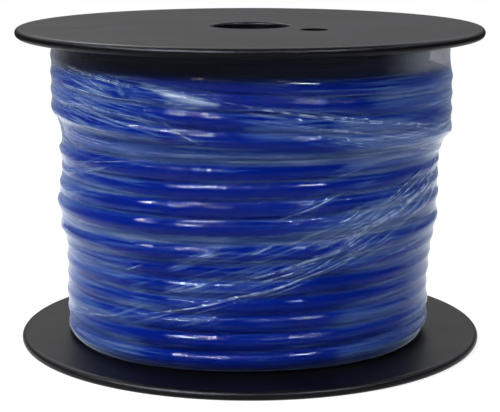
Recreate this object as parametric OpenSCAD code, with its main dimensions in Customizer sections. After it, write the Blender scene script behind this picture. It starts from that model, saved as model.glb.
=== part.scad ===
// Moulded reel of insulated stranded wire under clear stretch film. Millimetres.
// Z is the reel's axis and z = 0 is the outer face that it stands on.

/* [Reel] */
// Diameter of both flanges
flange_d = 203; // [190:1:230]
// Thickness of a flange, with a full-round rim
flange_t = 4; // [3:0.5:6]
// Clear width between the flanges
traverse = 130; // [115:1:145]
// Diameter of the bore through flanges and arbor tube
bore_d = 34; // [25:0.5:38]
// Rounding of the bore's outer edges
bore_edge = 1; // [0.5:0.25:1.5]
// Diameter of the drive hole in each flange
drive_d = 12; // [8:0.5:13]
// Distance from the reel's axis to the drive hole
drive_offset = 34.3; // [32:0.1:36]
// Direction of the drive hole around the axis, in degrees
drive_az = -38; // [-180:1:180]

/* [Barrel and arbor tube] */
// Outer diameter of the barrel
barrel_d = 102; // [98:1:116]
// Wall of the barrel
barrel_wall = 3; // [2:0.25:4]
// Wall of the arbor tube
arbor_wall = 2.5; // [2:0.25:3]
// Height of the moulded rings that hold the barrel and the arbor tube
ring_h = 8; // [5:0.5:12]
// Wall of those rings
ring_wall = 2.5; // [2:0.25:3]
// Lead-in chamfer at a ring's open end
ring_lead = 0.8; // [0.4:0.1:1.2]
// Number of stiffening ribs between the rings
rib_count = 6; // [4:2:8]
// Thickness of a rib
rib_t = 2; // [1.5:0.25:3]
// How far the ribs stay below the rings' open ends
rib_step = 2; // [1:0.5:4]
// Radial clearance of the barrel and the arbor tube on their rings
seat_gap = 0.15; // [0.05:0.05:0.3]

/* [Wire] */
// Outer diameter of the wire's jacket
wire_d = 6.8; // [6.2:0.1:7]
// Least space between neighbouring turns of the full layer
lay_gap = 0.7; // [0.7:0.1:1.2]
// Space between neighbouring turns of the top layer
top_lay_gap = 0.45; // [0.45:0.05:0.8]
// Space between one layer and the next
layer_gap = 0.7; // [0.5:0.1:1]
// Space between the end turns and the flanges
end_gap = 0.4; // [0.4:0.1:1]
// Winding diameter beside the lower flange
wound_low_d = 157.2; // [150:0.2:160]
// Winding diameter halfway up
wound_mid_d = 165; // [160:0.2:168]
// Winding diameter over the top layer
wound_top_d = 172.6; // [171:0.2:178]
// Height over the lower flange where the winding starts to swell
swell_start = 29; // [20:1:35]
// Height over which the winding swells
swell_rise = 27; // [20:1:30]
// Extra space where one turn of the full layer lies loose
slack = 2.8; // [0:0.1:4]
// Turn of the full layer that the loose stretch follows
slack_turn = 7; // [3:1:9]
// Turns of the top layer that pass the front
top_passes = 4; // [3:1:5]
// How far the top layer starts below the height where the full layer ends
top_drop = 4; // [3.5:0.1:6]
// Tilt of the top layer, low on the +X side
top_tilt = 2.9; // [0:0.1:3.5]
// Direction of the wire's cut end around the axis, in degrees
end_az = 15; // [0:15:90]
// Turns over which the wire climbs from one layer to the next
climb_turns = 0.25; // [0.25:0.125:0.375]

/* [Conductor] */
// Diameter of one copper strand
strand_d = 0.92; // [0.7:0.02:0.94]
// Space between strands, and between the bundle and the jacket
strand_gap = 0.03; // [0.02:0.01:0.04]
// Rings of strands around the middle one
strand_rings = 2; // [1:1:2]

/* [Film] */
// Thickness of the stretch film's wraps together
film_t = 0.4; // [0.3:0.05:0.6]
// Space between the film and the turns
film_gap = 0.6; // [0.5:0.05:1]
// Space between the film's edges and the flanges
film_end_gap = 0.3; // [0.2:0.1:0.6]
// Half the height over which the film steps out over the top layer
shoulder_half = 5; // [4:0.5:6]

/* [Hidden] */
$fn = 96;

black_plastic = [0.12, 0.12, 0.13];
blue_jacket = [0.05, 0.12, 0.62];
copper = [0.80, 0.45, 0.28];
clear_film = [0.75, 0.82, 0.92, 0.30];

height = traverse + 2 * flange_t;
flange_r = flange_d / 2;
rim_r = flange_t / 2;
bore_r = bore_d / 2;
barrel_r = barrel_d / 2;
arbor_r = bore_r + arbor_wall;
collar_r = arbor_r + seat_gap;                       // collar's inner radius
spigot_r = barrel_r - barrel_wall - seat_gap;        // spigot's outer radius

// Winding: a full layer that climbs, then a top layer that comes back down.
ring_steps = 24;                                     // rings of the tube in one turn
tube_sides = 6;
wire_r = wire_d / 2;
low_r = wound_low_d / 2 - wire_r;                    // radii to the wire's centre
mid_r = wound_mid_d / 2 - wire_r;
top_r = wound_top_d / 2 - wire_r;
tucked_r = top_r - wire_d - layer_gap;               // full layer under the top layer
layer_step = wire_d + layer_gap;
lay_pitch = wire_d + lay_gap;
top_pitch = wire_d + top_lay_gap;
back_az = 90;                                        // the full layer starts behind the reel
quarter = 0.25;                                      // of a turn
z_first = flange_t + end_gap + wire_r;
rise_room = traverse - 2 * end_gap - wire_d - slack;
full_turns = floor(rise_room / lay_pitch + 1.5 * climb_turns);
climb_start = full_turns - climb_turns / 2;
z_last = z_first + lay_pitch * (climb_start - climb_turns) + slack;
top_start = full_turns + quarter;                    // where the top layer's descent is counted from
front_turns = top_passes - 1 + quarter;              // from there to its last pass of the front
wire_turns = top_start + front_turns + (end_az + 90) / 360;
top_z = z_last - top_drop;

// The lowest turn of the top layer, in front, sets where film and full layer step.
shoulder_z = top_z - top_pitch * front_turns - wire_r / 2 - shoulder_half;
shoulder_tilt = 1.6 * top_tilt;
tuck_z = shoulder_z - shoulder_half / 2;
swell_z = flange_t + swell_start;

// The tube's straight pieces cut inside its curve, so the body below it lies deeper by that.
chord_sag = mid_r * (1 - cos(180 / ring_steps));
under_clear = wire_r + chord_sag + layer_gap / 2;

function unit(t) = min(1, max(0, t));
function smooth(t) = let (u = unit(t)) u * u * (3 - 2 * u);
function mix(a, b, t) = a + (b - a) * t;
function polar(r, az, z) = [r * cos(az), r * sin(az), z];
function tangent(az) = [-sin(az), cos(az), 0];

// Radius to the wire's centre in the full layer, at height z.
function swell_r(z) = mix(low_r, mid_r, smooth((z - swell_z) / swell_rise));
function full_r(z) =
    mix(swell_r(z), tucked_r, smooth((z - tuck_z) / (2 * shoulder_half) + 0.5));

// Height of the wire's centre after s turns of the full layer, and u turns of the top layer.
function full_z(s) =
    z_first + lay_pitch * (min(climb_start, max(climb_turns, s)) - climb_turns)
    + slack * smooth((s - slack_turn) / 0.8 + 0.5);
function top_layer_z(u) = top_z - top_pitch * u + top_tilt * cos(360 * u);

function wire_az(s) = back_az + 360 * s;
function wire_z(s) =
    mix(full_z(s), top_layer_z(s - top_start), smooth((s - full_turns) / quarter));
function wire_centre_r(s) =
    mix(full_r(full_z(s)), top_r, unit((s - climb_start) / climb_turns))
    - layer_step * (1 - unit(s / climb_turns));

// Each ring of the tube is [centre, azimuth]; both ends run straight for one diameter.
ring_count = round(wire_turns * ring_steps);
wound = [for (i = [0:ring_count]) let (s = i / ring_steps)
    [polar(wire_centre_r(s), wire_az(s), wire_z(s)), wire_az(s)]];
start_ring = wound[0];
end_ring = wound[ring_count];
wire_rings = concat(
    [[start_ring[0] - wire_d * tangent(start_ring[1]), start_ring[1]]],
    wound,
    [[end_ring[0] + wire_d * tangent(end_ring[1]), end_ring[1]]]);

// Least gap between parts of the wire that are half a turn or more apart.
function least(v) = min([for (x = v) x]);
wire_self_gap = least([for (i = [0:len(wire_rings) - 1])
    for (j = [i + ring_steps / 2:1:len(wire_rings) - 1])
        norm(wire_rings[i][0] - wire_rings[j][0])]) - wire_d;
echo("least gap of the wire to itself, mm", wire_self_gap);

// Conductor and the hollow in the jacket's cut end that shows it.
strand_pitch = strand_d + strand_gap;
bundle_r = strand_rings * strand_pitch + strand_d / 2;
hollow_r = (bundle_r + strand_gap) / cos(180 / tube_sides);
hollow_l = wire_d - strand_gap;

film_z0 = flange_t + film_end_gap;
film_z1 = height - flange_t - film_end_gap;
film_steps = 48;
film_clear = wire_r + film_gap;

// ---------------------------------------------------------------- reel

module tube(r_out, r_in, h) {
    difference() {
        cylinder(r = r_out, h = h);
        translate([0, 0, -1]) cylinder(r = r_in, h = h + 2);
    }
}

// Half section of the plain disc: full-round rim, rounded outer edge of the bore.
module disc_section() {
    difference() {
        union() {
            translate([bore_r, 0]) square([flange_r - rim_r - bore_r, flange_t]);
            translate([flange_r - rim_r, rim_r]) circle(r = rim_r);
        }
        difference() {
            translate([bore_r - 1, -1]) square(bore_edge + 1);
            translate([bore_r + bore_edge, bore_edge]) circle(r = bore_edge);
        }
    }
}

// Ring that stands on the inner face, chamfered on the side that a tube slides over.
module seat_ring(r_in, r_out, lead_in, lead_out) {
    top = flange_t + ring_h;
    rotate_extrude() polygon([
        [r_in, flange_t - 1], [r_out, flange_t - 1],
        [r_out, top - lead_out], [r_out - lead_out, top],
        [r_in + lead_in, top], [r_in, top - lead_in]]);
}

// One moulding serves both ends: outer face at z = 0, rings and ribs above it.
module flange() {
    spigot_in = spigot_r - ring_wall;
    collar_out = collar_r + ring_wall;
    difference() {
        union() {
            rotate_extrude() disc_section();
            seat_ring(collar_r, collar_out, ring_lead, 0);
            seat_ring(spigot_in, spigot_r, 0, ring_lead);
            for (k = [0:rib_count - 1])
                rotate(drive_az + (k + 0.5) * 360 / rib_count)
                    translate([collar_out - ring_wall / 2, -rib_t / 2, flange_t - 1])
                        cube([spigot_in - collar_out + ring_wall, rib_t, ring_h - rib_step + 1]);
        }
        translate([0, 0, -1]) rotate(drive_az) translate([drive_offset, 0, 0])
            cylinder(r = drive_d / 2, h = flange_t + 2);
    }
}

module lower_flange() {
    color(black_plastic) flange();
}

// Turned over about the line through the drive hole, so that the two holes line up.
module upper_flange() {
    color(black_plastic)
        translate([0, 0, height]) rotate(drive_az) rotate([180, 0, 0]) rotate(-drive_az) flange();
}

module barrel() {
    color(black_plastic)
        translate([0, 0, flange_t]) tube(barrel_r, barrel_r - barrel_wall, traverse);
}

module arbor_tube() {
    color(black_plastic)
        translate([0, 0, flange_t]) tube(arbor_r, bore_r, traverse);
}

// ---------------------------------------------------------------- wire

// Plain body of the layers below the one that shows, with the slot that its wire rises from.
module wire_inner_layers() {
    core_z0 = flange_t + film_end_gap;
    core_z1 = height - flange_t - film_end_gap;
    core_steps = 24;
    slot_r = low_r - layer_step - under_clear;
    slot_z = z_first + wire_r + layer_gap / 2;
    slot_w = low_r - slot_r;
    color(blue_jacket)
    difference() {
        rotate_extrude() polygon(concat(
            [for (k = [0:core_steps]) let (z = mix(core_z0, core_z1, k / core_steps))
                [full_r(z) - under_clear, z]],
            [[barrel_r + seat_gap, core_z1], [barrel_r + seat_gap, core_z0]]));
        rotate(back_az) rotate_extrude(angle = 360 * climb_turns)
            translate([slot_r, 0]) square([slot_w, slot_z]);
        rotate(back_az) translate([slot_r, -wire_d - film_end_gap, 0])
            cube([slot_w, wire_d + 2 * film_end_gap, slot_z]);
    }
}

function tube_ring(ring, r) = [for (j = [0:tube_sides - 1]) let (a = j * 360 / tube_sides)
    ring[0] + r * (cos(a) * [cos(ring[1]), sin(ring[1]), 0] + sin(a) * [0, 0, 1])];

// The one unbroken wire of both outer layers, hollowed at its cut end for the conductor.
module wire_outer_layer() {
    tip = wire_rings[len(wire_rings) - 1];
    hollow_end = [tip[0] - hollow_l * tangent(tip[1]), tip[1]];
    rings = concat(
        [for (ring = wire_rings) tube_ring(ring, wire_r)],
        [tube_ring(tip, hollow_r), tube_ring(hollow_end, hollow_r)]);
    n = tube_sides;
    last = len(rings) - 1;
    sides = [for (i = [0:last - 1], j = [0:n - 1]) let (k = (j + 1) % n)
        each [[i * n + j, (i + 1) * n + j, (i + 1) * n + k],
              [i * n + j, (i + 1) * n + k, i * n + k]]];
    caps = [for (j = [1:n - 2])
        each [[0, j, j + 1], [last * n, last * n + j + 1, last * n + j]]];
    color(blue_jacket)
        polyhedron(points = [for (ring = rings) each ring], faces = concat(sides, caps), convexity = 10);
}

// Bare strands in the jacket's cut end, one in the middle and the rest in rings around it.
module wire_conductor() {
    tip = wire_rings[len(wire_rings) - 1];
    m = strand_rings;
    color(copper)
    translate(tip[0]) rotate(tip[1]) rotate([90, 0, 0])
        for (q = [-m:m], p = [-m:m])
            if (abs(q + p) <= m)
                translate([(q + p / 2) * strand_pitch, p * strand_pitch * cos(30), 0])
                    cylinder(r = strand_d / 2, h = hollow_l - strand_gap, $fn = 24);
}

// ---------------------------------------------------------------- film

// Each row of the film is [height, share of the shoulder's tilt, radius to the wire's centre].
film_rows = concat(
    [[film_z0, 0, low_r]],
    [for (k = [0:4]) let (z = swell_z + swell_rise * k / 4) [z, 0, swell_r(z)]],
    [for (t = [-1, -0.4, 0.4, 1])
        [shoulder_z + shoulder_half * t, 1, mix(mid_r, top_r, smooth((t + 1) / 2))]],
    [[film_z1, 0, top_r]]);

function film_point(row, j, skin) =
    let (az = 360 * j / film_steps)
    polar(row[2] + film_clear + skin, az, row[0] - row[1] * shoulder_tilt * cos(az));

// Taut skin around the winding, open at both ends.
module stretch_film() {
    rows = len(film_rows);
    n = film_steps;
    loop = concat(
        [for (k = [0:rows - 1]) [for (j = [0:n - 1]) film_point(film_rows[k], j, film_t)]],
        [for (k = [rows - 1:-1:0]) [for (j = [0:n - 1]) film_point(film_rows[k], j, 0)]]);
    m = 2 * rows;
    color(clear_film)
        polyhedron(
            points = [for (row = loop) each row],
            faces = [for (i = [0:m - 1], j = [0:n - 1])
                let (a = i * n, b = ((i + 1) % m) * n, k = (j + 1) % n)
                each [[a + j, b + j, b + k], [a + j, b + k, a + k]]],
            convexity = 6);
}

lower_flange();
upper_flange();
barrel();
arbor_tube();
wire_inner_layers();
wire_outer_layer();
wire_conductor();
stretch_film();
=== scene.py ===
"""Dresses a reel of insulated wire: moulded black reel, blue wire, copper end, creased stretch film."""

import math
import random

import bpy
import numpy as np
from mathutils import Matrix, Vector


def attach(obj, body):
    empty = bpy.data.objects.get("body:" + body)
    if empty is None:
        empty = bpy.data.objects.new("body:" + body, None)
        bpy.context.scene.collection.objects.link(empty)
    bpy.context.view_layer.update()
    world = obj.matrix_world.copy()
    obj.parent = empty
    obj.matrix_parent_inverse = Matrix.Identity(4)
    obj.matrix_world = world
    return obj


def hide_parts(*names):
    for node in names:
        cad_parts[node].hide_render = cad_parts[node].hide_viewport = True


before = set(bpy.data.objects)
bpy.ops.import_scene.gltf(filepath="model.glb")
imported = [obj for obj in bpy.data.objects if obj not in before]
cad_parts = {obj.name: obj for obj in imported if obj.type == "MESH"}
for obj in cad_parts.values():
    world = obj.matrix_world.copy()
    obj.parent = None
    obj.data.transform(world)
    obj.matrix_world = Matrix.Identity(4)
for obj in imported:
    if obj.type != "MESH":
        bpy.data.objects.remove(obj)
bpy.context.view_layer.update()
bpy.ops.object.select_all(action="DESELECT")

# ------------------------------------------------------------------ sizes
# Lengths are in millimetres until a mesh is made, then in metres. Angles are in degrees.
# Azimuth 0 is +X and the viewer stands at -90. "Facing" angles count from the viewer's side, to the right.
# A place along the wire is s, in turns from the start of the full layer.
MM = 0.001
VIEWER_AZ = -90.0
BACK_AZ = 90.0

FLANGE_T = 4.0
TRAVERSE = 130.0
HEIGHT = TRAVERSE + 2 * FLANGE_T
BARREL_R = 51.0

WIRE_D = 6.8
WIRE_R = WIRE_D / 2
END_GAP = 0.4
LAYER_GAP = 0.7
LAY_PITCH = 7.5
TOP_PITCH = 7.25
LOW_R, MID_R, TOP_R = 75.2, 79.1, 82.9  # to the wire's centre: low, middle and top layer
LAYER_STEP = WIRE_D + LAYER_GAP
TUCKED_R = TOP_R - LAYER_STEP
SWELL_Z, SWELL_RISE = 33.0, 27.0  # the layers below swell from this height on, over this rise
SLACK, SLACK_TURN, SLACK_RUN = 2.8, 7.0, 0.8  # a loose turn: its gap, the turn, and the turns it opens over
CLIMB = 0.25  # turns that the wire takes to climb one layer
TOP_DROP, TOP_TILT = 4.0, 2.9
TOP_LEAN = 1.4  # the top layer stands out so much further on the right
LEFT_LEAN = (  # and the full layer on the left: height, and how much further it stands out
    (14, 1.8), (20, 2.5), (28, 2.5), (34, 1.6), (42, 1.3), (49, 0.3), (56, 1.9), (67, 1.9), (73, 0.0),
)
WANDER = ((0.22, 0.93, 0), (0.12, 2.07, 1))  # waves of the wire up and down: size, waves per turn, phase
UNEVEN = ((0.25, 0.31, 0), (0.2, 0.47, 2))  # and in and out
TOP_PASSES = 4
END_AZ = 15.0
SHOULDER_HALF = 5.0

Z_FIRST = FLANGE_T + END_GAP + WIRE_R
FULL_TURNS = 16
CLIMB_START = FULL_TURNS - CLIMB / 2
Z_LAST = Z_FIRST + LAY_PITCH * (CLIMB_START - CLIMB) + SLACK
TOP_START = FULL_TURNS + CLIMB
FRONT_TURNS = TOP_PASSES - 1 + CLIMB
WIRE_TURNS = TOP_START + FRONT_TURNS + (END_AZ + BACK_AZ) / 360
TOP_Z = Z_LAST - TOP_DROP
SHOULDER_Z = TOP_Z - TOP_PITCH * FRONT_TURNS - WIRE_R / 2 - SHOULDER_HALF
TUCK_Z = SHOULDER_Z - SHOULDER_HALF / 2

UNDER_TURNS = 16.2  # turns of the layer below, which the same wire comes from
RINGS_PER_TURN = 40
WIRE_SIDES = 14
END_REACH = 0.02  # turns by which the straight cut end still lifts the film
BUNDLE_R = 2.42  # hollow for the strands in the cut end
CUT_END = (  # the straight end: wire diameters along, and radius. Cut square, with a dulled edge, and hollow.
    (0.5, WIRE_R), (0.93, WIRE_R), (0.98, WIRE_R - 0.08), (1.0, WIRE_R - 0.25),
    (1.0, BUNDLE_R + 0.15), (0.97, BUNDLE_R), (0.5, BUNDLE_R), (0.02, BUNDLE_R),
)

CORE_GAP = 0.15  # between the core and the barrel
CORE_STEPS = 72
GROOVE = 0.95  # share of the wire's radius that the grooves between the core's turns reach

FILM_T = 0.25
FILM_TOP = HEIGHT - FLANGE_T - 0.3
FILM_LOW = 6.2
LOW_WAVE, LOW_RIPPLE = 1.6, 0.7  # how far the film's lower edge wanders, once and three times a turn
FILM_CLING = 0.35  # from the jacket to the film's outer skin, on a crest
FILM_BEND = (2.0, 9.0)  # radius of the film's hollow between two turns: towards the viewer, and at the sides
FILM_TAUT_BEND, FILM_TAUT_DEPTH = 30.0, 1.0  # it bridges a wide gap as tautly as this, so much deeper
FILM_HOLD_R = 86.5  # to the film's edge at the upper flange
HOLD_SWAY, HOLD_TURN = 0.9, 0.3  # that edge stands out further on the right, at so many radians past it
HOLD_SAG = 0.9  # the film hangs in by this between the top turn and the flange
HULL_SWING = 0.5  # cosine of the angle that the film's outline in plan is closed over
SKIN_STEP = 0.3  # rows of the worked-out skin; its columns are a degree apart
FILM_COLUMNS, FILM_ROWS = 290, 170
COLUMN_SHIFT = 16  # degrees by which the film's columns crowd towards the viewer
CREST_ROWS = 2.4  # how much closer the film's rows lie on a crest
CREST_RISE, CREST_HALF, CREST_EDGE = 0.8, 2.6, 1.2  # where: above the wire's centre, and to each side of that
FILM_LAP = 14.0  # degrees that the film's tail laps over its start
LAP_EASE, LAP_LIFT = 4, 0.9  # degrees before the lap at which the tail starts to lift, and how far it does
FILM_ARC_R = 84.0  # radius at which the film's length is counted


def unit(t):
    return np.clip(t, 0.0, 1.0)


def smooth(t):
    u = unit(t)
    return u * u * (3 - 2 * u)


def ramp(value, start, run):
    """Rises softly from 0 at start to 1 after the run."""
    return smooth((value - start) / run)


def fall(value, end, run):
    """Falls softly from 1 to 0 at end, over the run before it."""
    return smooth((end - value) / run)


def mix(a, b, t):
    return a + (b - a) * t


def waves(table, s):
    return sum(size * np.sin(2 * np.pi * rate * s + phase) for size, rate, phase in table)


# ------------------------------------------------------------------ the wire's route
def full_r(z):
    """Radius to the wire's centre in the full layer, at height z."""
    swell = mix(LOW_R, MID_R, ramp(z, SWELL_Z, SWELL_RISE))
    return mix(swell, TUCKED_R, smooth((z - TUCK_Z) / (2 * SHOULDER_HALF) + 0.5))


def full_z(s):
    """Height of the wire's centre in the full layer, and in the layer below, where s is negative."""
    lay = Z_FIRST + LAY_PITCH * (np.clip(s, CLIMB, CLIMB_START) - CLIMB)
    return lay + SLACK * smooth((s - SLACK_TURN) / SLACK_RUN + 0.5) - LAY_PITCH * np.minimum(s, 0)


def wire_z(s):
    """Height of the wire's centre: up through the full layer, then down the tilted top layer."""
    down = TOP_Z - TOP_PITCH * (s - TOP_START) + TOP_TILT * np.cos(2 * np.pi * (s - TOP_START))
    return mix(full_z(s), down, ramp(s, FULL_TURNS, CLIMB)) + waves(WANDER, s) * smooth(s - CLIMB)


def wire_centre_r(s):
    climb = unit((s - CLIMB_START) / CLIMB)
    below = LAYER_STEP * (1 - unit(s / CLIMB))
    side = np.cos(np.radians(BACK_AZ + 360 * s))  # 1 on the right, -1 on the left
    left = np.interp(full_z(s), *zip(*LEFT_LEAN)) * (1 - side) / 2
    full = full_r(full_z(s)) + left + waves(UNEVEN, s) * smooth(s - CLIMB)
    return mix(full, TOP_R + TOP_LEAN * (1 + side) / 2, climb) - below


def outwards(az):
    """Unit vectors that point away from the axis, one row for each azimuth."""
    a = np.radians(az)
    return np.stack([np.cos(a), np.sin(a), np.zeros_like(a)], axis=-1)


# ------------------------------------------------------------------ the wire
def mesh_piece(name, points, faces):
    """A mesh piece from points in millimetres."""
    mesh = bpy.data.meshes.new(name)
    mesh.from_pydata((np.asarray(points) * MM).tolist(), [], faces)
    mesh.update()
    piece = bpy.data.objects.new(name, mesh)
    bpy.context.collection.objects.link(piece)
    mesh.shade_smooth()
    return piece


def tube_faces(rings, sides):
    """Quads of a tube of rings, with an n-gon on each end."""
    faces = [
        (i * sides + j, (i + 1) * sides + j, (i + 1) * sides + (j + 1) % sides, i * sides + (j + 1) % sides)
        for i in range(rings - 1)
        for j in range(sides)
    ]
    last = (rings - 1) * sides
    return faces + [tuple(range(sides)), tuple(range(last + sides - 1, last - 1, -1))]


def wire_piece():
    """One unbroken tube: the layer below, the full layer, the top layer and the hollow cut end."""
    count = round((UNDER_TURNS + WIRE_TURNS) * RINGS_PER_TURN)
    s = np.linspace(-UNDER_TURNS, WIRE_TURNS, count + 1)
    az = BACK_AZ + 360 * s
    centres = outwards(az) * wire_centre_r(s)[:, None]
    centres[:, 2] = wire_z(s)
    radii = np.full(len(s), WIRE_R)
    end_way = outwards(az[-1] + 90)
    for along, radius in CUT_END:
        centres = np.vstack([centres, centres[count] + end_way * WIRE_D * along])
        radii = np.append(radii, radius)
        az = np.append(az, az[count])
    turn = 2 * np.pi * np.arange(WIRE_SIDES) / WIRE_SIDES
    out = outwards(az)[:, None, :] * np.cos(turn)[None, :, None]
    up = np.array([0, 0, 1.0]) * np.sin(turn)[:, None]
    points = centres[:, None, :] + radii[:, None, None] * (out + up[None])
    return mesh_piece("wire_jacket", points.reshape(-1, 3), tube_faces(len(centres), WIRE_SIDES))


def core_piece():
    """The layers further down, which hardly show: a body on the barrel, grooved between its turns."""
    z0, z1 = FLANGE_T + END_GAP, HEIGHT - FLANGE_T - END_GAP
    outer = []
    for z in np.arange(z0, z1, WIRE_R / 3):
        part = math.fmod((z - Z_FIRST) / LAY_PITCH + 1.5, 1.0) - 0.5  # from this turn's middle
        groove = WIRE_R * (1 - math.sqrt(1 - (2 * GROOVE * part) ** 2))
        outer.append((full_r(z) - 2 * LAYER_STEP + WIRE_R - groove, z))
    profile = np.array([(BARREL_R + CORE_GAP, z0), *outer, (outer[-1][0], z1), (BARREL_R + CORE_GAP, z1)])
    count = len(profile)
    points = outwards(np.linspace(0, 360, CORE_STEPS, endpoint=False))[:, None, :] * profile[:, :1]
    points[..., 2] = profile[:, 1]
    faces = [
        (i * count + j, k * count + j, k * count + (j + 1) % count, i * count + (j + 1) % count)
        for i, k in ((step, (step + 1) % CORE_STEPS) for step in range(CORE_STEPS))
        for j in range(count)
    ]
    return mesh_piece("wire_core", points.reshape(-1, 3), faces)


# ------------------------------------------------------------------ the film's skin
def passes_at(az):
    """For each turn that passes the azimuths az: radius (0 where no wire is), height, and place s."""
    start = np.mod((az - BACK_AZ) / 360, 1.0)
    turns = [start + k for k in range(int(WIRE_TURNS) + 1)]
    return [
        (np.where((s >= CLIMB) & (s <= WIRE_TURNS + END_REACH), wire_centre_r(s), 0.0), wire_z(s), s)
        for s in turns
    ]


def rolled(profile, z, bend):
    """Closes the hollows of a profile as a ball of radius bend does that rolls over it from outside."""
    lag = (z[:, None] - z[None, :]) ** 2 / (2 * bend)
    reach = (profile[None, :] - lag).max(axis=1)
    return (reach[None, :] + lag).min(axis=1)


def skin_column(az, z):
    """The film's outer skin at one azimuth: over the crests, bridged in the hollows, up to the flange."""
    facing = math.radians(az - VIEWER_AZ)
    turns = np.full_like(z, LOW_R - WIRE_R)
    over = WIRE_R + FILM_CLING
    top_z = top_r = 0.0
    for r, zc, s in passes_at(np.float64(az)):
        arc = np.sqrt(np.maximum(over**2 - (z - zc) ** 2, 0))
        turns = np.maximum(turns, np.where(arc > 0, r + arc, 0))
        if TOP_START <= s < TOP_START + 1:
            top_z, top_r = zc, r + over
    t = unit((z - top_z) / (FILM_TOP - top_z))
    hold = FILM_HOLD_R + HOLD_SWAY * math.sin(facing - HOLD_TURN)
    reach = np.maximum(turns, mix(top_r, hold, t) - HOLD_SAG * np.sin(np.pi * t))
    turns = np.where(z > top_z, reach, turns)
    bend = mix(*FILM_BEND, smooth(abs(math.sin(facing)) * 1.6 - 0.6))  # grows over the last part to the sides
    return np.maximum(rolled(turns, z, bend), rolled(turns, z, FILM_TAUT_BEND) - FILM_TAUT_DEPTH)


def film_skin():
    """Radii of the film's outer skin, a row for each height and a column for each degree of azimuth."""
    z = np.arange(0, HEIGHT, SKIN_STEP)
    skin = np.stack([skin_column(az, z) for az in range(360)], axis=1)
    # Pulled round the winding, the film has no hollow in plan: each row is closed to its convex outline.
    turn = np.radians(np.arange(360)[:, None] - np.arange(360)[None, :])
    swing = np.cos(turn)
    away = np.where(swing > HULL_SWING, 1 / np.maximum(swing, HULL_SWING), np.inf)
    for row in skin:
        row[:] = ((row[None, :] * swing).max(axis=1)[None, :] * away).min(axis=1)
    return skin


SKIN = film_skin()


def film_r(az, z):
    """Radius of the film's outer skin at any azimuth and height, without its folds."""
    column, level = np.mod(az, 360), unit(z / HEIGHT) * HEIGHT / SKIN_STEP
    c0, r0 = np.floor(column).astype(int), np.minimum(np.floor(level).astype(int), len(SKIN) - 2)
    along, up = column - c0, level - r0
    c0, c1 = c0 % 360, (c0 + 1) % 360
    low = mix(SKIN[r0, c0], SKIN[r0, c1], along)
    return mix(low, mix(SKIN[r0 + 1, c0], SKIN[r0 + 1, c1], along), up)


# ------------------------------------------------------------------ the film's folds
CREASES = [  # facing angle and height of both ends, then width and height of the fold
    # the fan from the upper left, and its long sweep down to the right
    (-62, 127, -14, 117, 1.0, 0.35), (-50, 121, -28, 111, 0.8, 0.35), (-28, 111, -12, 98, 0.6, 0.35),
    (-31, 110, -23, 101, 0.5, 0.35), (-70, 110, -44, 112, 1.0, 0.3), (-70, 104, -38, 102, 1.0, 0.3),
    (-66, 118, -24, 114, 1.0, 0.35), (-72, 98, -30, 95, 0.9, 0.3), (-16, 117, 34, 106, 1.1, 0.3),
    (-4, 109, 52, 98, 1.0, 0.35), (15, 103, 36, 96, 0.7, 0.35), (30, 100, 84, 86, 1.0, 0.35),
    (40, 106, 88, 92, 1.2, 0.35), (10, 112, 70, 100, 1.0, 0.3),
    # lines that rise to the right on the left side
    (-76, 82, -30, 91, 0.8, 0.3), (-72, 78, -44, 86, 0.8, 0.3), (-74, 70, -50, 75, 0.8, 0.3),
    # the pull that rises to the right
    (4, 66, 46, 88, 0.5, 0.4), (25, 64, 62, 84, 0.6, 0.4), (10, 53, 68, 77, 0.8, 0.4),
    (16, 52, 72, 80, 0.7, 0.4), (-8, 41, 66, 73, 0.8, 0.4), (-2, 36, 52, 62, 0.8, 0.35),
    (28, 47, 66, 53, 0.5, 0.3), (-14, 33, 24, 47, 0.7, 0.35), (22, 84, 40, 91, 0.6, 0.35),
    (30, 56, 74, 72, 0.8, 0.35),
    # long lines low on the left
    (-78, 16, -34, 26, 0.8, 0.3), (-34, 26, -6, 35, 0.8, 0.35), (-40, 26, -4, 27, 0.6, 0.25),
]
SWATHES_AND_PAINTED_GLINTS = [  # milky bands of film pulled together and painted glints, in the same terms, with their milkiness as height
    (-88, 127, -8, 114, 4.5, 0.06), (-88, 114, -20, 107, 3.5, 0.03), (-88, 101, -20, 96, 3.5, 0.04),
    (-6, 105, 60, 98, 3.0, 0.09), (18, 103, 98, 92, 5.0, 0.19), (24, 91, 98, 88, 3.5, 0.19),
    (-26, 94, 40, 93, 2.0, 0.08), (-30, 36, 52, 56, 4.5, 0.06), (0, 58, 90, 78, 5.0, 0.07),
    (-88, 20, -20, 30, 5.0, 0.07), (30, 116, 98, 112, 4.0, 0.08), (20, 24, 98, 34, 7.0, 0.1),
    (-92, 10, -30, 13, 6.0, 0.09), (-92, 36, -36, 42, 6.0, 0.07), (-92, 66, -42, 72, 7.0, 0.05),
    (20, 10, 98, 15, 6.0, 0.08),
    # painted glints: short bright bursts where the fan starts
    (-31, 122, -10, 116, 0.8, 0.5), (-24, 118, -7, 114.5, 0.8, 0.5), (-23, 115, -12, 113, 0.7, 0.35),
    (-38, 123, -35, 116, 0.8, 0.35),
]
FOLD_BOW = 0.6  # how far a fold's middle lies below the straight line between its ends
FOLD_END = 0.15  # share of a fold's length over which it dies out at each end
FAN_FOLDS, PULL_FOLDS, BACK_FOLDS = 16, 44, 36
PULL_FACING, PULL_Z, PULL_RISE = -20, 40, 0.36  # a point of the rising pull, and its rise for each degree


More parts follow.
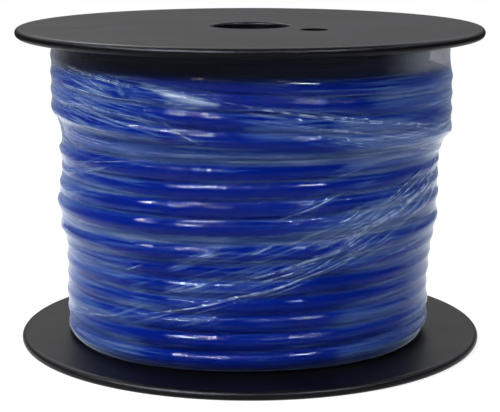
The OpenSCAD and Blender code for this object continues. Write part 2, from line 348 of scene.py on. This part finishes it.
def fold_rows(rng):
    """The folds pulled into the film: the listed ones, then short ones among them and behind."""
    rows = list(CREASES)

    def add(a, z, run, rise, width, height):
        rows.append((a, z, a + run, z + rise, rng.uniform(*width), rng.uniform(*height)))

    for _ in range(FAN_FOLDS):
        a, z = rng.uniform(-72, 0), rng.uniform(102, 128)
        add(a, z, rng.uniform(14, 34), -rng.uniform(1, 7), (0.4, 0.8), (0.1, 0.25))
    for _ in range(PULL_FOLDS):
        a, off = rng.uniform(-48, 56), rng.uniform(-11, 11)
        run = rng.uniform(8, 24)
        z = PULL_Z + PULL_RISE * (a - PULL_FACING) + off
        add(a, z, run, run * rng.uniform(0.35, 0.6), (0.35, 0.7), (0.1, 0.3))
    for _ in range(BACK_FOLDS):
        a, z = rng.uniform(80, 270), rng.uniform(12, 122)
        rise = rng.uniform(4, 14) * (1 if z < 90 else -1)
        add(a, z, rng.uniform(14, 40), rise, (0.5, 0.9), (0.1, 0.3))
    return rows


def fold_height(rows, az, z):
    """How far the folds lift the film at az and z, in millimetres."""
    lift = np.zeros_like(z)
    per_degree = np.radians(1.0) * FILM_ARC_R
    for a0, z0, a1, z1, width, height in rows:
        x = (np.mod(az - VIEWER_AZ - a0 + 180, 360) - 180) * per_degree
        way = np.array([(a1 - a0) * per_degree, z1 - z0])
        length = np.hypot(*way)
        way /= length
        along = (x * way[0] + (z - z0) * way[1]) / length
        across = (z - z0) * way[0] - x * way[1] + FOLD_BOW * np.sin(np.pi * unit(along))
        ends = ramp(along, 0, FOLD_END) * fall(along, 1, FOLD_END)
        lift += height * ends * np.exp(-((across / width) ** 2))
    return lift


# ------------------------------------------------------------------ the film
# A pair is a start and a run for ramp, or an end and a run for fall.
BRIDGED, LOOSE = (0.55, 0.8), (0.45, 0.7)  # how far off the jacket the film is milky, and lets more through
UNDER = (121, 5)  # height at which the film leaves the winding for the flange, and above which it gets painted shade
FLANK, LIMB, BEHIND = (22, 20), (54, 28), (132, 36)  # degrees to each side: painted sheen makes the film paler there, but not behind
SIDE_MIDDLE, SIDE, SIDE_BEHIND = -10, (46, 25), (125, 30)  # the same from a middle: painted light makes the painted shade under the flange paler
# The flank and limb terms paint sheen into the film's milky colour, paler towards the sides and most on the
# right.
BRIDGE_HAZE, FOLD_HAZE, FLANK_PAINTED_SHEEN = 0.15, 0.05, 0.03
LIMB_PAINTED_SHEEN, LIMB_BRIDGE_PAINTED_SHEEN, LIMB_RIGHT_PAINTED_SHEEN = 0.06, 0.1, 0.04
PULL_WIDTH, PULL_HEIGHT, PULL_SHARE = 3.5, 0.5, 0.6  # fine lines show this far beside a fold, this strongly
HAZE_BY_HEIGHT = (  # how milky the film is where it bridges, at each height
    (0, 0.25), (30, 0.3), (38, 0.6), (56, 0.8), (59, 1.2), (62, 0.8), (70, 0.7), (88, 0.65), (94, 1.1),
    (98, 0.6), (103, 0.25), (110, 0.4), (121, 0.4), (124, 0.1), (134, 0.1),
)


def row_heights(az, low, v):
    """Heights of the film's rows at one azimuth, closer together over the turns' crests."""
    z = np.linspace(low, FILM_TOP, 600)  # fine steps, over which the rows are shared out
    near = np.min([np.abs(z - zc - CREST_RISE) for r, zc, s in passes_at(np.float64(az)) if r > 0], axis=0)
    share = np.cumsum(1 + (CREST_ROWS - 1) * fall(near, CREST_HALF, CREST_EDGE))
    share = (share - share[0]) / (share[-1] - share[0])
    return np.interp(v, share, z)


def film_fields(rows, facing, az, z, base, lift):
    """What the film's finish reads at each point, from 0 to 1."""
    bare = np.maximum.reduce([
        np.where(np.abs(z - zc) < WIRE_R, r + np.sqrt(np.maximum(WIRE_R**2 - (z - zc) ** 2, 0)), r * 0)
        for r, zc, s in passes_at(az)
    ])
    off = np.abs(facing)
    valley = ramp(base - bare, *BRIDGED)
    bridge = valley * np.interp(z, *zip(*HAZE_BY_HEIGHT))
    flank, limb = ramp(off, *FLANK) * fall(off, *BEHIND), ramp(off, *LIMB) * fall(off, *BEHIND)
    # Milkiness in the hollows and along the folds, plus painted sheen towards the sides.
    haze_and_painted_sheen = BRIDGE_HAZE * bridge + FOLD_HAZE * lift + FLANK_PAINTED_SHEEN * flank
    haze_and_painted_sheen += limb * (LIMB_PAINTED_SHEEN + LIMB_BRIDGE_PAINTED_SHEEN * valley + LIMB_RIGHT_PAINTED_SHEEN * np.sign(facing))
    drawn = [(*row[:4], PULL_WIDTH, PULL_HEIGHT) for row in rows]
    # The swathes add milky bands and painted glints.
    return {
        "haze_and_painted_sheen": unit(haze_and_painted_sheen + fold_height(SWATHES_AND_PAINTED_GLINTS, az, z)),
        "pull": unit(PULL_SHARE * fold_height(drawn, az, z)),
        "loose": ramp(base - bare, *LOOSE),
        # under: where the film gets painted shade below the flange; side: where that painted shade turns to
        # painted light
        "under": ramp(z, *UNDER),
        "side": ramp(np.abs(facing - SIDE_MIDDLE), *SIDE) * fall(off, *SIDE_BEHIND),
    }


def film_piece(rows):
    """The stretch film: one sheet wrapped round the winding, its tail lapped over its start."""
    u = np.linspace(0, 1, FILM_COLUMNS + 1)
    v = np.linspace(0, 1, FILM_ROWS + 1)
    facing = -180 + (360 + FILM_LAP) * u  # starts and ends behind the reel
    facing = facing - COLUMN_SHIFT * np.sin(np.radians(facing)) * (np.abs(facing) < 180)
    az = facing + VIEWER_AZ
    low = FILM_LOW + LOW_WAVE * np.sin(np.radians(az + 20)) + LOW_RIPPLE * np.sin(np.radians(3 * az))
    z = np.stack([row_heights(azimuth, edge, v) for azimuth, edge in zip(az, low)], axis=1)
    lap = ramp(facing, 180 - LAP_EASE, FILM_LAP + LAP_EASE)[None, :] * LAP_LIFT
    facing, az = facing[None, :] + 0 * z, az[None, :] + 0 * z
    base = film_r(az, z)
    lift = fold_height(rows, az, z)
    points = outwards(az) * (base + lift + lap)[..., None]
    points[..., 2] = z
    across = FILM_COLUMNS + 1
    faces = [
        (i * across + j, i * across + j + 1, (i + 1) * across + j + 1, (i + 1) * across + j)
        for i in range(FILM_ROWS)
        for j in range(FILM_COLUMNS)
    ]
    film = mesh_piece("stretch_film_wrap", points.reshape(-1, 3), faces)
    mesh = film.data
    # The film's own map, in metres: along the wrap, and up.
    flat = np.stack([facing * np.radians(1) * FILM_ARC_R, z], axis=-1).reshape(-1, 2) * MM
    corners = np.empty(len(mesh.loops), dtype=np.int32)
    mesh.loops.foreach_get("vertex_index", corners)
    mesh.uv_layers.new(name="wrap").data.foreach_set("uv", flat[corners].astype(np.float32).ravel())
    for name, values in film_fields(rows, facing, az, z, base, lift).items():
        field = mesh.attributes.new(name, "FLOAT", "POINT")
        field.data.foreach_set("value", values.astype(np.float32).ravel())
    bpy.context.view_layer.objects.active = film
    wall = film.modifiers.new("wall", "SOLIDIFY")
    wall.thickness, wall.offset = FILM_T * MM, -1
    bpy.ops.object.modifier_apply(modifier=wall.name)
    return film


PLEAT_FROM = 0.2  # height of the lowest fold that is pleated
PLEAT_RINGS = 32
PLEAT_SECTION = ((0.0, 1.0), (1.0, 0.0), (0.0, -1.0), (-1.0, 0.0))
PLEAT_LOW, PLEAT_TOP = 8, FILM_TOP - 0.6


def pleat_piece(rows, rng):
    """Sharp pleats on the folds: fine ridges of doubled film that taper to both ends."""
    points, faces = [], []
    taper = np.sqrt(np.sin(np.pi * np.linspace(0.02, 0.98, PLEAT_RINGS)))
    ridge = tube_faces(PLEAT_RINGS, len(PLEAT_SECTION))
    for a0, z0, a1, z1, width, height in rows:
        if height < PLEAT_FROM:
            continue
        for _ in range(rng.randint(1, 3)):
            start = rng.uniform(0, 0.35)
            t = np.linspace(start, min(1, start + rng.uniform(0.35, 0.9)), PLEAT_RINGS)
            shift, sway = rng.uniform(-1.4, 1.4) * width, rng.uniform(0, 2)
            half, tall = rng.uniform(0.05, 0.11), rng.uniform(0.06, 0.12)
            az = VIEWER_AZ + mix(a0, a1, t)
            z = mix(z0, z1, t) - FOLD_BOW * np.sin(np.pi * t) + shift * np.cos(sway * t)
            z = np.clip(z, PLEAT_LOW, PLEAT_TOP)
            centre = outwards(az) * (film_r(az, z) + fold_height(rows, az, z))[:, None]
            centre[:, 2] = z
            way = np.gradient(centre, axis=0)
            way /= np.linalg.norm(way, axis=1)[:, None]
            out = outwards(az)
            side = np.cross(way, out)
            first = len(points)
            for c, o, w, k in zip(centre, out, side, taper):
                points += [c + w * half * k * x + o * tall * k * y for x, y in PLEAT_SECTION]
            faces += [tuple(first + q for q in face) for face in ridge]
    return mesh_piece("stretch_film_pleats", points, faces)


# ------------------------------------------------------------------ shader nodes
def node(tree, kind, settings=None, **sockets):
    """Adds a shader node. A socket's name has _ for a space, and its value is a link or a constant."""
    made = tree.nodes.new(kind)
    for key, value in (settings or {}).items():
        setattr(made, key, value)
    for key, value in sockets.items():
        plug(tree, made.inputs[key.replace("_", " ")], value)
    return made


def plug(tree, socket, value):
    if isinstance(value, bpy.types.NodeSocket):
        tree.links.new(value, socket)
    else:
        socket.default_value = value


def maths(tree, operation, first, *others, clamp=False):
    """Applies an operation to the values from left to right."""
    for value in others:
        made = tree.nodes.new("ShaderNodeMath")
        made.operation, made.use_clamp = operation, clamp
        plug(tree, made.inputs[0], first)
        plug(tree, made.inputs[1], value)
        first = made.outputs[0]
    return first


def times(tree, *values):
    return maths(tree, "MULTIPLY", *values)


def plus(tree, *values, clamp=False):
    return maths(tree, "ADD", *values, clamp=clamp)


def most(tree, *values):
    return maths(tree, "MAXIMUM", *values)


def rest_of(tree, value):
    """One less the value."""
    return maths(tree, "SUBTRACT", 1.0, value)


def remap(tree, value, low, high, new_low=0.0, new_high=1.0):
    sockets = {"Value": value, "From_Min": low, "From_Max": high, "To_Min": new_low, "To_Max": new_high}
    return node(tree, "ShaderNodeMapRange", **sockets).outputs[0]


def window(tree, value, low, high, edge):
    """One between low and high, and nothing outside, with soft edges."""
    rise = remap(tree, value, low - edge, low + edge)
    return times(tree, rise, remap(tree, value, high + edge, high - edge))


def colours(tree, factor, *stops):
    """A colour ramp; each stop is (place, red, green, blue)."""
    made = node(tree, "ShaderNodeValToRGB", Fac=factor)
    ramp_stops = made.color_ramp.elements
    while len(ramp_stops) < len(stops):
        ramp_stops.new(0.5)
    for element, stop in zip(ramp_stops, stops):
        element.position, element.color = stop[0], (*stop[1:], 1)
    return made.outputs[0]


def noise(tree, place, scale, detail, rough=0.5):
    sockets = {"Vector": place, "Scale": scale, "Detail": detail, "Roughness": rough}
    return node(tree, "ShaderNodeTexNoise", **sockets).outputs[0]


def stretched_noise(tree, place, scale, turn=0.0, detail=3.0):
    """Noise drawn out along one direction of the film; scale is (along, across) per metre."""
    turned = node(tree, "ShaderNodeMapping", Vector=place, Rotation=(0, 0, math.radians(turn)))
    sized = node(tree, "ShaderNodeMapping", Vector=turned.outputs[0], Scale=(*scale, 1))
    return noise(tree, sized.outputs[0], 1.0, detail, 0.55)


def bumpy(tree, skin, height, strength, distance):
    bump = node(tree, "ShaderNodeBump", Height=height, Strength=strength, Distance=distance)
    plug(tree, skin.inputs["Normal"], bump.outputs[0])


# ------------------------------------------------------------------ finishes
def new_finish(name, **sockets):
    """A material whose constant sockets are set; a socket's name has _ for a space."""
    finish = bpy.data.materials.new(name)
    finish.use_nodes = True
    tree = finish.node_tree
    skin = tree.nodes["Principled BSDF"]
    for key, value in sockets.items():
        skin.inputs[key.replace("_", " ")].default_value = value
    return finish, tree, skin


def moulded_plastic():
    """Black moulded plastic: satin, faintly mottled, with a fine grain."""
    finish, tree, skin = new_finish("moulded black plastic", Specular_IOR_Level=0.08)
    place = node(tree, "ShaderNodeTexCoord").outputs["Object"]
    mottle = noise(tree, place, 38.0, 5.0, 0.6)
    grain = noise(tree, place, 1400.0, 2.0)
    base = colours(tree, mottle, (0.35, 0.0014, 0.0013, 0.0020), (0.7, 0.0026, 0.0024, 0.0035))
    plug(tree, skin.inputs["Base Color"], base)
    plug(tree, skin.inputs["Roughness"], remap(tree, mottle, 0.3, 0.75, 0.34, 0.4))
    bumpy(tree, skin, grain, 0.25, 0.00012)
    return finish


def jacket_vinyl():
    """Deep blue vinyl of the wire's jacket. Its gloss is the film's, which lies over it."""
    finish, tree, skin = new_finish("blue vinyl jacket", Specular_IOR_Level=0.0)
    place = node(tree, "ShaderNodeTexCoord").outputs["Object"]
    drift = noise(tree, place, 30.0, 3.0)
    grain = noise(tree, place, 900.0, 2.0)
    base = colours(tree, drift, (0.3, 0.0004, 0.009, 0.17), (0.7, 0.0008, 0.0135, 0.23))
    plug(tree, skin.inputs["Base Color"], base)
    plug(tree, skin.inputs["Roughness"], remap(tree, drift, 0.3, 0.7, 0.5, 0.6))
    bumpy(tree, skin, grain, 0.15, 0.0001)
    return finish


def bare_copper():
    """Bright drawn copper of the strands."""
    finish, tree, skin = new_finish("bare copper", Metallic=1.0)
    place = node(tree, "ShaderNodeTexCoord").outputs["Object"]
    tarnish = noise(tree, place, 600.0, 3.0)
    base = colours(tree, tarnish, (0.3, 0.62, 0.24, 0.12), (0.7, 0.85, 0.42, 0.26))
    plug(tree, skin.inputs["Base Color"], base)
    plug(tree, skin.inputs["Roughness"], remap(tree, tarnish, 0.3, 0.7, 0.22, 0.4))
    return finish


MIX_A, MIX_B, MIX_RESULT = 6, 7, 2  # a Mix node's colour sockets
FAN_Z = (0.088, 0.1)  # metres up the film, between which its fine lines turn from rising to falling
FILM_COLOURS = (  # from clear film on blue wire to milky film, whose pale end also paints sheen at the sides and glints
    (0.0, 0.0002, 0.0095, 0.17), (0.03, 0.0006, 0.012, 0.19), (0.1, 0.034, 0.088, 0.29),
    (0.35, 0.13, 0.19, 0.36), (1.0, 0.34, 0.42, 0.55),
)
GAP_PAINTED_SHADE_AND_LIGHT = ((0.0, 0.012, 0.014, 0.018), (1.0, 0.25, 0.275, 0.32))  # painted shade under the flange, from dark to paler painted light at the sides


def clear_film():
    """Thin clear film: glossy, blue from the wire it clings to, milky where it bridges or is drawn out, with
    painted sheen at its sides, painted glints, and painted shade under the flange.
    """
    finish, tree, skin = new_finish(
        "clear stretch film", Roughness=0.06, IOR=1.2, Sheen_Roughness=0.35, Sheen_Tint=(0.8, 0.88, 1, 1)
    )
    place = node(tree, "ShaderNodeUVMap", {"uv_map": "wrap"}).outputs[0]
    haze_and_painted_sheen, pull, loose, under, side = (
        node(tree, "ShaderNodeAttribute", {"attribute_name": name}).outputs["Fac"]
        for name in ("haze_and_painted_sheen", "pull", "loose", "under", "side")
    )
    streaks = stretched_noise(tree, place, (26.0, 900.0))
    swathes = stretched_noise(tree, place, (9.0, 120.0), detail=2.0)
    rising = stretched_noise(tree, place, (36.0, 1000.0), turn=-18.0)
    falling = stretched_noise(tree, place, (30.0, 1000.0), turn=9.0)
    patches = stretched_noise(tree, place, (20.0, 70.0), detail=2.0)
    upper = remap(tree, node(tree, "ShaderNodeSeparateXYZ", Vector=place).outputs[1], *FAN_Z)
    slanted = plus(tree, times(tree, falling, upper), times(tree, rising, rest_of(tree, upper)))

    # Milk: in the hollows, along the folds, and in streaks, with painted sheen at the sides and painted
    # glints carried in.
    pulled = times(tree, remap(tree, slanted, 0.5, 0.66), remap(tree, pull, 0.0, 0.8, 0.0, 0.3))
    drawn = times(tree, remap(tree, streaks, 0.5, 0.68), remap(tree, patches, 0.42, 0.62, 0.01, 0.13))
    streaked_haze_and_painted_sheen = times(
        tree, haze_and_painted_sheen, remap(tree, streaks, 0.42, 0.58, 0.6, 1.25), remap(tree, swathes, 0.38, 0.62, 0.5, 1.4)
    )
    milk_and_painted_sheen = plus(tree, streaked_haze_and_painted_sheen, plus(tree, pulled, drawn), clamp=True)
    # Under the flange the film's colour is painted shade, with paler painted light at the sides.
    tint = node(tree, "ShaderNodeMix", {"data_type": "RGBA"}, Factor=under)
    plug(tree, tint.inputs[MIX_A], colours(tree, milk_and_painted_sheen, *FILM_COLOURS))
    plug(tree, tint.inputs[MIX_B], colours(tree, side, *GAP_PAINTED_SHADE_AND_LIGHT))
    plug(tree, skin.inputs["Base Color"], tint.outputs[MIX_RESULT])

    # How much of the film itself shows: most where it clings, is milky or is seen edge on, and half under the
    # flange, so its painted shade shows.
    grazing = node(tree, "ShaderNodeLayerWeight", Blend=0.5).outputs["Facing"]
    limb = times(tree, maths(tree, "POWER", grazing, 2.2), 0.5)
    cling = remap(tree, loose, 0.0, 1.0, 0.28, 0.08)
    body = times(tree, plus(tree, cling, times(tree, milk_and_painted_sheen, 0.7), limb), rest_of(tree, under))
    body = plus(tree, body, times(tree, under, 0.5))
    plug(tree, skin.inputs["Alpha"], maths(tree, "MINIMUM", body, 0.95))
    plug(tree, skin.inputs["Sheen Weight"], remap(tree, under, 0.0, 1.0, 0.6, 1.0))
    bumpy(tree, skin, plus(tree, times(tree, streaks, 0.25), times(tree, slanted, pull)), 0.15, 0.0001)
    return finish


def pleated_film():
    """The same film where it is doubled over: milkier and bright on its edge."""
    finish, tree, skin = new_finish("pleated stretch film", Roughness=0.16, IOR=1.7)
    place = node(tree, "ShaderNodeTexCoord").outputs["Object"]
    breaks = noise(tree, place, 260.0, 2.0)
    base = colours(tree, breaks, (0.3, 0.2, 0.3, 0.55), (0.7, 0.5, 0.62, 0.85))
    plug(tree, skin.inputs["Base Color"], base)
    plug(tree, skin.inputs["Alpha"], remap(tree, breaks, 0.35, 0.65, 0.15, 0.75))
    return finish


def wear(piece, finish):
    piece.data.materials.clear()
    piece.data.materials.append(finish)


# ------------------------------------------------------------------ studio
# Here lengths are in metres.
CAMERA_PLACE = (0.0, -0.7188, 0.1997)
CAMERA_DOWN = 11.153
CAMERA_LENS = 118.87
WINDING_CENTRE = Vector((0, 0, 0.069))
SOFTBOXES = (  # name, facing angle, elevation, distance, size, power
    ("key softbox", -33, 37, 1.3, (0.6, 0.05), 10),
    ("right softbox", 36, 37, 1.3, (0.24, 0.05), 3),
    ("side lamp", -70, 35, 1.2, (0.14, 0.05), 5),
    ("back softbox", -150, 45, 1.4, (0.5, 0.05), 6),
)
ROOM_LIGHT = 0.75
# Only glossy rays see what follows. A depth is a direction's Y and a height its Z, from 0 when level.
WALL_DEPTH = (0.0, 0.8, 0.03, 1.0)  # a wall behind the reel: between two depths, from dim to full
WALL_HEIGHT = (0.25, 0.4, 0.07, 2.0)  # and between two heights, from dim to bright
RING_HEIGHT = (0.573, 0.602, 0.007)  # a thin bright ring: from and to this height, and its soft edge
RING_DEPTH = (0.0, 0.4, 40.0, 4.0)  # between two depths, from its brightness in front to that behind
STRIP_HEIGHT = (0.545, 0.6, 0.01)  # bright strips across the ring, in the same terms
LIGHT_STRIPS = ((-54, -16, 300), (29, 49, 210), (-77, -67, 150))  # facing angles from and to, and strength
STRIP_EDGE = 4  # degrees
STRIP_TINT = (0.78, 0.9, 1)
FLOOR_R, FLOOR_SIDES = 0.45, 96
FLOOR_GREY, FLOOR_GLOW, FLOOR_BLEND = 0.8, 1.4, 0.5


def softbox(name, facing, elevation, distance, size, power):
    """A rectangular lamp aimed at the winding; facing counts from the viewer's side, to the right."""
    a, e = math.radians(facing), math.radians(elevation)
    way = Vector((math.sin(a) * math.cos(e), -math.cos(a) * math.cos(e), math.sin(e)))
    lamp = bpy.data.lights.new(name, "AREA")
    lamp.shape, lamp.size, lamp.size_y, lamp.energy = "RECTANGLE", size[0], size[1], power
    stand = bpy.data.objects.new(name, lamp)
    stand.location = WINDING_CENTRE + way * distance
    stand.rotation_euler = way.to_track_quat("Z", "Y").to_euler()
    bpy.context.collection.objects.link(stand)


def add_camera(scene):
    camera = bpy.data.objects.new("camera", bpy.data.cameras.new("camera"))
    camera.data.sensor_width, camera.data.lens = 36.0, CAMERA_LENS
    camera.location = CAMERA_PLACE
    camera.rotation_euler = (math.radians(90 - CAMERA_DOWN), 0, 0)
    bpy.context.collection.objects.link(camera)
    scene.camera = camera


def add_world(scene):
    """White to the camera, an even room for soft light, and a wall, a ring and strips for gloss to mirror."""
    world = bpy.data.worlds.new("studio")
    scene.world = world
    world.use_nodes = True
    tree = world.node_tree
    light = tree.nodes["Background"]
    path = node(tree, "ShaderNodeLightPath").outputs
    way = node(tree, "ShaderNodeTexCoord").outputs["Generated"]
    x, y, z = node(tree, "ShaderNodeSeparateXYZ", Vector=way).outputs
    facing = maths(tree, "ARCTAN2", x, times(tree, y, -1.0))
    wall = times(tree, remap(tree, y, *WALL_DEPTH), remap(tree, z, *WALL_HEIGHT))
    ring = times(tree, window(tree, z, *RING_HEIGHT), remap(tree, y, *RING_DEPTH))
    mirrored = most(tree, wall, ring)
    tall = window(tree, z, *STRIP_HEIGHT)
    for left, right, strength in LIGHT_STRIPS:
        strip = window(tree, facing, *(math.radians(angle) for angle in (left, right, STRIP_EDGE)))
        mirrored = most(tree, mirrored, times(tree, strip, strength, tall))
    glossy = path["Is Glossy Ray"]
    cool = times(tree, tall, glossy)
    plug(tree, light.inputs["Color"], colours(tree, cool, (0.0, 1, 1, 1), (1.0, *STRIP_TINT)))
    seen = most(tree, path["Is Camera Ray"], path["Is Transmission Ray"])
    plain = rest_of(tree, most(tree, seen, glossy))
    level = plus(tree, times(tree, glossy, mirrored), times(tree, plain, ROOM_LIGHT))
    plug(tree, light.inputs["Strength"], most(tree, seen, level))


def add_floor():
    """White paper: part glow to rays that show it, and plain matte to the soft light."""
    bpy.ops.mesh.primitive_circle_add(vertices=FLOOR_SIDES, radius=FLOOR_R, fill_type="NGON")
    floor = bpy.context.object
    floor.name = "floor"
    paper = bpy.data.materials.new("white paper")
    paper.use_nodes = True
    tree = paper.node_tree
    tree.nodes.remove(tree.nodes["Principled BSDF"])
    path = node(tree, "ShaderNodeLightPath").outputs
    seen = most(tree, *(path[f"Is {kind} Ray"] for kind in ("Camera", "Glossy", "Transmission")))
    matte = node(tree, "ShaderNodeBsdfDiffuse", Color=(FLOOR_GREY, FLOOR_GREY, FLOOR_GREY, 1)).outputs[0]
    glow = node(tree, "ShaderNodeEmission", Color=(1, 1, 1, 1), Strength=FLOOR_GLOW).outputs[0]
    blend = node(tree, "ShaderNodeMixShader", Fac=times(tree, seen, FLOOR_BLEND))
    tree.links.new(matte, blend.inputs[1])
    tree.links.new(glow, blend.inputs[2])
    tree.links.new(blend.outputs[0], tree.nodes["Material Output"].inputs["Surface"])
    wear(floor, paper)
    bpy.ops.object.select_all(action="DESELECT")


def studio():
    scene = bpy.context.scene
    add_camera(scene)
    for row in SOFTBOXES:
        softbox(*row)
    add_world(scene)
    add_floor()
    scene.view_settings.view_transform = "Standard"


# ------------------------------------------------------------------ the object
studio()

plastic, vinyl, copper = moulded_plastic(), jacket_vinyl(), bare_copper()
for name in ("lower_flange", "upper_flange", "barrel", "arbor_tube"):
    wear(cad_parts[name], plastic)
wear(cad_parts["wire_conductor"], copper)

wire = wire_piece()
wear(wire, vinyl)
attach(wire, "root")
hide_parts("wire_outer_layer")

rng = random.Random(11)
folds = fold_rows(rng)
film = film_piece(folds)
wear(film, clear_film())
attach(film, "root")
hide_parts("stretch_film")

pleats = pleat_piece(folds, rng)
wear(pleats, pleated_film())
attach(pleats, "root")

core = core_piece()
wear(core, vinyl)
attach(core, "root")
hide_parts("wire_inner_layers")
